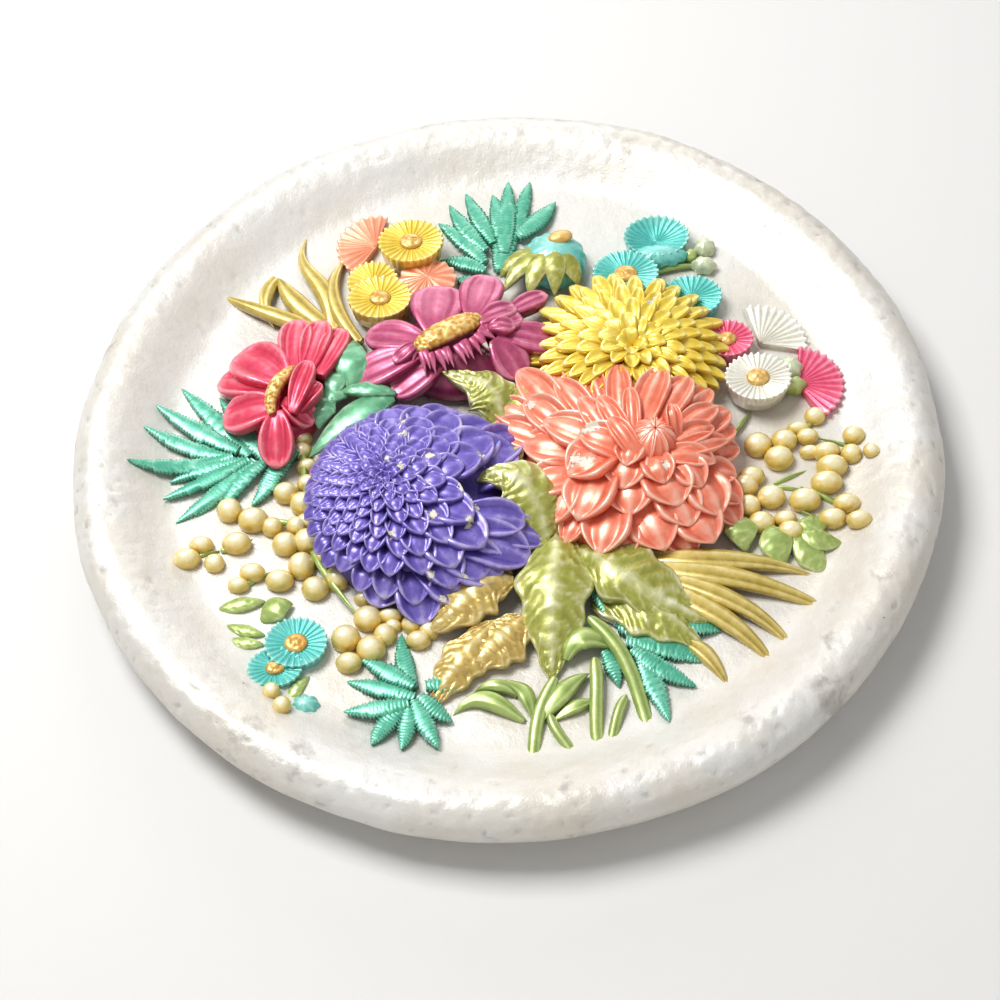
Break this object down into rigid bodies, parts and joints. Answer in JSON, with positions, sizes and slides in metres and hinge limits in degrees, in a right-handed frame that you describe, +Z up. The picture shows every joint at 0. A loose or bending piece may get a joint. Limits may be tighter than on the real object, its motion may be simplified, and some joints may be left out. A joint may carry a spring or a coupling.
{
  "type": "decorative wall plaque",
  "caption": "Round cast-plaster wall plaque: a shallow white dish with a rough rolled rim and a painted bouquet of dahlias, daisies, ferns and berries in high relief",
  "frame": {"origin": "the middle of the flat back, where the plaque touches the wall it hangs on", "axes": "+Y runs out of the back into the wall, the relief faces -Y, +Z is up the wall with the ferns at the top and the stems at the bottom, +X is to the right as seen from the front"},
  "size_m": [0.33, 0.042, 0.33],
  "materials": {
    "pearl_plaster": "satin",
    "coral_paint": "satin",
    "purple_paint": "satin",
    "magenta_paint": "satin",
    "red_paint": "satin",
    "yellow_paint": "satin",
    "teal_paint": "satin",
    "blue_paint": "satin",
    "berry_gold_paint": "satin",
    "leaf_olive_paint": "satin",
    "stem_green_paint": "satin",
    "gold_paint": "satin",
    "peach_paint": "satin"
  },
  "bodies": {
    "root": {"plaque": "pearl_plaster"}
  },
  "joints": []
}
